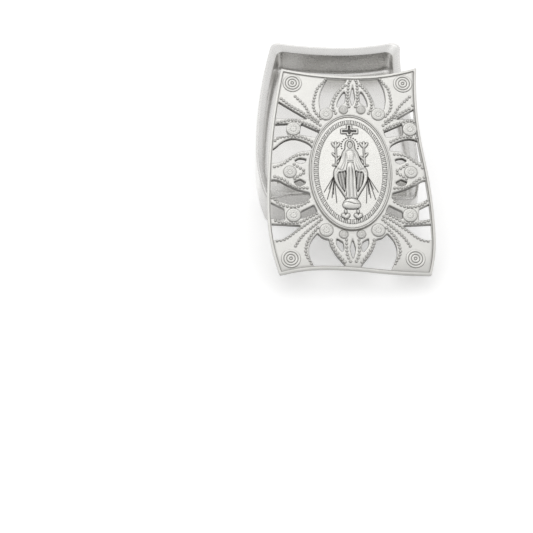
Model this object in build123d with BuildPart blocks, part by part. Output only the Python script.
from build123d import *

import math
import os

os.makedirs("parts", exist_ok=True)

# A pocket-size box for a string of prayer beads: an open cast tray and a pierced lid with an oval medal.
# Millimetres. The origin is the middle of the tray's underside, +Z is up, and the lid's far end is at +Y.

# Plan shared by the tray and the lid
box_length = 70.0
far_width = 43.0
near_width = 46.4
end_shift = 0.3  # the middle of each end lies this far right of the middle line
far_left_setback = 0.6  # the far left corner stops this much short of the far right one
left_reach = 26.4  # from the middle line out to the widest place on the left side
left_reach_y = -14.0
right_reach = 25.3
right_reach_y = -22.5
right_turn = 23.1  # where the right side changes from bowing out to bowing in
right_turn_y = 4.0
far_hollow = 3.2  # how far the far end bows in from its right corner
far_hollow_x = 2.0
near_hollow = 2.0
near_hollow_x = -9.0
near_turn_hollow = 1.1  # where the near end changes from bowing in to bowing out
near_turn_x = 6.0
corner_radius = 2.4

# Tray
tray_height = 11.5
tray_floor = 1.4
tray_wall = 2.6
inner_corner_radius = 2.0
floor_round = 1.2
rim_width = 0.8  # from the outer face in to the top of the bevel
bevel_drop = 1.6
rim_round = 0.4
foot_round = 0.6

# Lid casting
lid_height = 3.0
lid_edge = 1.1  # the upright band round the top, above the undercut
lid_undercut = 0.55
border_width = 1.05
border_raise = 0.25
web_thickness = 1.5
seat_gap = 0.2
seat_bevel = 0.2  # on the inner lower edge of the border, so that it swings off the rim freely
opening_round = 0.3
opening_overrun = 2.4  # how far the edge openings are drawn past the widest place, for the border to trim
corner_lug_depth = 1.2
side_lug_depth = 1.9  # the open lid leans on the tray by its right side lug
lug_width = 1.0
lug_clearance = 0.5
corner_lug_reach = 9.0
side_lug_length = 4.4

# Ornament on the lid
ornament_shift = (-0.3, -1.0)
crown_lean = 0.055  # toward the far end the pattern drifts right by this share of its distance from the medal
stud_raise = 0.45
ring_raise = 0.3
ring_line = 0.45
ring_pitch = 0.87
ring_count = 3

# Oval medal and its setting
bezel_half_width = 12.8
bezel_half_length = 19.4
bezel_wall = 0.95
bezel_raise = 0.9
bezel_round = 0.25
medal_clearance = 0.03
medal_thickness = 1.0
medal_seat_depth = 0.6
figure_raise = 0.7
head_radius = 1.15

# Lift-off of the lid, as one swing about a line below the near end
open_angle = 18.5
swing_depth = 82.15  # from the tray's rim down to the swing line
swing_setback = 10.68  # from the near end to the swing line
swing_yaw = 7.5
swing_pitch = 4.05

# Places worked out from the sizes above
half_length = box_length / 2
far_left = (end_shift - far_width / 2, half_length - far_left_setback)
far_right = (end_shift + far_width / 2, half_length)
near_left = (end_shift - near_width / 2, -half_length)
near_right = (end_shift + near_width / 2, -half_length)
lid_seat_z = tray_height + seat_gap
field_z = lid_height - border_raise
web_z = field_z - web_thickness
medal_seat_z = field_z - medal_seat_depth
medal_top_z = medal_seat_z + medal_thickness
medal_half_width = bezel_half_width - bezel_wall
medal_half_length = bezel_half_length - bezel_wall
lug_inset = tray_wall + lug_clearance
yaw = math.radians(swing_yaw)
pitch = math.radians(swing_pitch)
swing_point = (0.0, -half_length + swing_setback, tray_height - swing_depth)
swing_axis = (math.cos(yaw) * math.cos(pitch), math.sin(yaw) * math.cos(pitch), math.sin(pitch))
swing = Location(swing_point) * Location((0, 0, 0), swing_axis, open_angle) * Location(swing_point).inverse()
lid_plane = Plane(swing * Location((0, 0, lid_seat_z)))
ornament_plane = Plane(lid_plane.location * Location((*ornament_shift, 0)))
ornament_axis = Axis(ornament_plane.origin, ornament_plane.z_dir)


def box_plan(inset=0.0, corner=0.0):
    """The area of the plan: bowed sides and hollow ends, with its edge drawn in by inset."""
    left_bow = (-left_reach, left_reach_y)
    right_bow = (right_reach, right_reach_y)
    far_dip = (far_hollow_x, half_length - far_hollow)
    near_dip = (near_hollow_x, near_hollow - half_length)
    with BuildSketch() as plan:
        with BuildLine():
            TangentArc(left_bow, far_left, tangent=(0, 1))
            TangentArc(left_bow, near_left, tangent=(0, -1))
            TangentArc(near_dip, near_left, tangent=(-1, 0))
            rise = TangentArc(near_dip, (near_turn_x, near_turn_hollow - half_length), tangent=(1, 0))
            TangentArc(rise @ 1, near_right, tangent=rise % 1)
            TangentArc(right_bow, near_right, tangent=(0, -1))
            upper = TangentArc(right_bow, (right_turn, right_turn_y), tangent=(0, 1))
            TangentArc(upper @ 1, far_right, tangent=upper % 1)
            TangentArc(far_dip, far_right, tangent=(1, 0))
            TangentArc(far_dip, far_left, tangent=(-1, 0))
        make_face()
        if inset:
            offset(amount=-inset, kind=Kind.INTERSECTION)
        if corner:
            along = plan.vertices().sort_by(Axis.Y)
            fillet(along[:2] + along[-2:], radius=corner)
    return plan.sketch


with BuildPart() as tray:
    with BuildSketch(Plane.XY):
        add(box_plan(corner=corner_radius))
    extrude(amount=tray_height)
    with BuildSketch(Plane.XY.offset(tray_floor)):
        add(box_plan(inset=tray_wall, corner=inner_corner_radius))
    extrude(amount=tray_height - tray_floor, mode=Mode.SUBTRACT)
    with BuildSketch(Plane.XY.offset(tray_height - bevel_drop)):
        add(box_plan(inset=tray_wall, corner=inner_corner_radius))
    with BuildSketch(Plane.XY.offset(tray_height)):
        add(box_plan(inset=rim_width, corner=inner_corner_radius))
    loft(ruled=True, mode=Mode.SUBTRACT)
    floor_face = tray.faces().filter_by(Plane.XY).sort_by(Axis.Z)[1]
    fillet(floor_face.outer_wire().edges(), radius=floor_round)
    rim_face = tray.faces().sort_by(Axis.Z)[-1]
    fillet(rim_face.outer_wire().edges(), radius=rim_round)
    foot_face = tray.faces().sort_by(Axis.Z)[0]
    fillet(foot_face.outer_wire().edges(), radius=foot_round)
tray.part.label = "tray"


def left_openings():
    """The pierced shapes on the lid's left half, as rings of points about the medal's centre. Where one meets
    the border it runs on past it, and the border trims it."""
    past = left_reach + opening_overrun
    end = half_length
    return [
        [(-past, 27.5), (-13.9, 18.1), (-past, 18.4)],
        [(-past, 16.0), (-19.9, 16.5), (-19.9, 12.3), (-past, 11.6)],
        [(-15.9, 16.5), (-10.2, 13.8), (-11.0, 11.9), (-16.2, 12.7)],
        [(-past, 4.3), (-23.6, 8.4), (-21.2, 10.5), (-18.4, 11.4), (-15.2, 10.7), (-12.4, 8.8), (-12.2, 7.4),
         (-16.2, 6.8), (-20.0, 4.5), (-22.6, 3.2), (-past, 3.5)],
        [(-17.6, 3.9), (-16.1, 4.7), (-13.8, 4.4), (-14.3, 3.4), (-15.7, 2.8)],
        [(-17.7, -3.2), (-15.7, -2.3), (-13.9, -3.4), (-14.8, -4.3), (-16.7, -4.3)],
        [(-past, -3.5), (-22.8, -2.7), (-20.4, -4.0), (-17.1, -5.6), (-12.9, -6.9), (-12.6, -8.6),
         (-15.2, -10.2), (-18.3, -10.8), (-22.0, -9.8), (-past, -5.3)],
        [(-past, -8.1), (-24.6, -10.4), (-20.9, -12.3), (-20.7, -16.1), (-past, -14.8)],
        [(-15.7, -13.1), (-11.6, -11.0), (-10.6, -13.3), (-15.6, -15.6)],
        [(-past, -17.1), (-15.7, -17.8), (-20.2, -21.4), (-22.3, -22.4), (-past, -21.9)],
        [(-6.4, end), (-9.7, 28.6), (-10.4, 24.6), (-10.0, 21.1), (-9.0, 21.8), (-5.7, 22.7), (-5.0, 25.7),
         (-2.6, 29.4), (0.2, end)],
        [(-4.1, 22.7), (-3.6, 25.2), (-1.8, 27.1), (-1.4, 26.8), (-1.7, 23.3), (-3.0, 22.7)],
        [(-10.8, -20.3), (-12.8, -23.1), (-13.5, -26.4), (-12.8, -29.4), (-9.9, -end), (-0.2, -end),
         (-2.6, -30.8), (-5.2, -27.4), (-7.0, -23.9), (-7.3, -22.3), (-8.9, -21.9)],
        [(-5.0, -22.0), (-3.0, -23.2), (-2.8, -25.5), (-3.2, -26.5), (-4.7, -24.4)],
    ]


def middle_slots():
    """The two thin pointed slots on the lid's centre line."""
    return [
        [(0, 22.6), (0.75, 26.1), (0, 29.6), (-0.75, 26.1)],
        [(0, -21.9), (0.85, -25.4), (0, -28.9), (-0.85, -25.4)],
    ]


# Raised granulated discs: distance from the centre line, place along the lid, radius
left_studs = [
    (-8.2, 19.75, 2.05),
    (-2.75, 21.2, 1.35),
    (-18.3, 14.65, 2.2),
    (-18.85, 0.0, 1.95),
    (-18.0, -14.4, 2.2),
    (-8.0, -19.35, 2.05),
    (-2.7, -20.7, 1.35),
]
corner_rings = [(-17.5, 30.4), (17.5, 30.4), (-19.1, -28.7), (19.1, -28.7)]

# The robe's left edge from the neck down to the hem, about the medal's centre
robe_edge = [(-1.0, 8.6), (-2.3, 6.6), (-3.4, 2.6), (-5.0, 0.4), (-4.6, -3.2), (-2.3, -7.0), (-2.0, -9.4)]
head_centre = (0.0, 9.9)
globe_centre = (0.0, -9.4)
globe_radius = 2.6


def set_out(side, out, along):
    """A place in the pattern about the medal's centre: side 1 keeps it left, side -1 sets it right."""
    return (side * out + crown_lean * max(along, 0), along)


def pierced_area():
    """The area of all the lid's openings, trimmed by the border."""
    with BuildSketch() as area:
        for points in left_openings():
            for side in (1, -1):
                with BuildLine():
                    Polyline(*[set_out(side, out, along) for out, along in points], close=True)
                make_face()
        for points in middle_slots():
            with BuildLine():
                Polyline(*[set_out(1, out, along) for out, along in points], close=True)
            make_face()
        fillet(area.vertices(), radius=opening_round)
    return area.sketch


def lug_track():
    """The band just inside the tray's wall in which the locating lugs stand."""
    with BuildSketch() as track:
        add(box_plan(inset=lug_inset, corner=inner_corner_radius))
        add(box_plan(inset=lug_inset + lug_width), mode=Mode.SUBTRACT)
    return track.sketch


with BuildPart() as lid:
    with BuildSketch(lid_plane):
        add(box_plan(inset=lid_undercut))
    with BuildSketch(lid_plane.offset(lid_height - lid_edge)):
        add(box_plan())
    loft(ruled=True)
    with BuildSketch(lid_plane.offset(lid_height - lid_edge)):
        add(box_plan())
    extrude(amount=lid_edge)
    with BuildSketch(lid_plane.offset(field_z)):
        add(box_plan(inset=border_width))
    extrude(amount=border_raise, mode=Mode.SUBTRACT)
    with BuildSketch(lid_plane):
        add(box_plan(inset=border_width))
    extrude(amount=web_z, mode=Mode.SUBTRACT)
    with BuildSketch(lid_plane):
        add(box_plan(inset=border_width - seat_bevel))
    with BuildSketch(lid_plane.offset(seat_bevel)):
        add(box_plan(inset=border_width))
    loft(ruled=True, mode=Mode.SUBTRACT)
    with BuildSketch(lid_plane.offset(web_z)):
        with Locations(ornament_shift):
            add(pierced_area())
        add(box_plan(inset=border_width), mode=Mode.INTERSECT)
    extrude(amount=lid_height, mode=Mode.SUBTRACT)
    with BuildSketch(ornament_plane.offset(web_z)):
        for out, along, radius in left_studs:
            with Locations(set_out(1, out, along), set_out(-1, out, along)):
                Circle(radius)
    extrude(amount=web_thickness + stud_raise)
    with BuildSketch(ornament_plane.offset(field_z)):
        with Locations(*corner_rings):
            for turn in range(ring_count):
                middle = ring_pitch * (turn + 1)
                Circle(middle + ring_line / 2)
                Circle(middle - ring_line / 2, mode=Mode.SUBTRACT)
            Circle(ring_line / 2)
    extrude(amount=ring_raise)
    with BuildSketch(ornament_plane.offset(medal_seat_z)):
        Ellipse(medal_half_width, medal_half_length)
    extrude(amount=lid_height, mode=Mode.SUBTRACT)
    with BuildSketch(lid_plane.offset(-corner_lug_depth)):
        with Locations(far_left, far_right):
            Rectangle(2 * corner_lug_reach, 2 * corner_lug_reach)
        add(lug_track(), mode=Mode.INTERSECT)
    extrude(amount=corner_lug_depth + web_z)
    with BuildSketch(lid_plane.offset(-side_lug_depth)):
        with Locations(ornament_shift):
            Rectangle(box_length, side_lug_length)
        add(lug_track(), mode=Mode.INTERSECT)
    extrude(amount=side_lug_depth + web_z)
lid.part.label = "lid"

with BuildPart() as bezel:
    with BuildSketch(ornament_plane.offset(field_z)):
        Ellipse(bezel_half_width, bezel_half_length)
        Ellipse(medal_half_width, medal_half_length, mode=Mode.SUBTRACT)
    extrude(amount=bezel_raise)
    fillet(bezel.faces().sort_by(ornament_axis)[-1].edges(), radius=bezel_round)
bezel.part.label = "bezel"

with BuildPart() as medal:
    with BuildSketch(ornament_plane.offset(medal_seat_z)):
        Ellipse(medal_half_width - medal_clearance, medal_half_length - medal_clearance)
    extrude(amount=medal_thickness)
    with BuildSketch(ornament_plane.offset(medal_top_z)):
        with BuildLine():
            Spline(*robe_edge)
            Line(robe_edge[0], (0, robe_edge[0][1]))
            Line(robe_edge[-1], (0, robe_edge[-1][1]))
            mirror(about=Plane.YZ)
        make_face()
        with Locations(head_centre):
            Circle(head_radius)
        with Locations(globe_centre):
            Circle(globe_radius)
    extrude(amount=figure_raise)
medal.part.label = "medal"

for piece in (tray, lid, bezel, medal):
    name = piece.part.label
    solid = piece.part
    export_step(solid, f"parts/{name}.step")
    print(name, "volume", round(solid.volume, 1), "valid", solid.is_valid, "solids", len(solid.solids()))
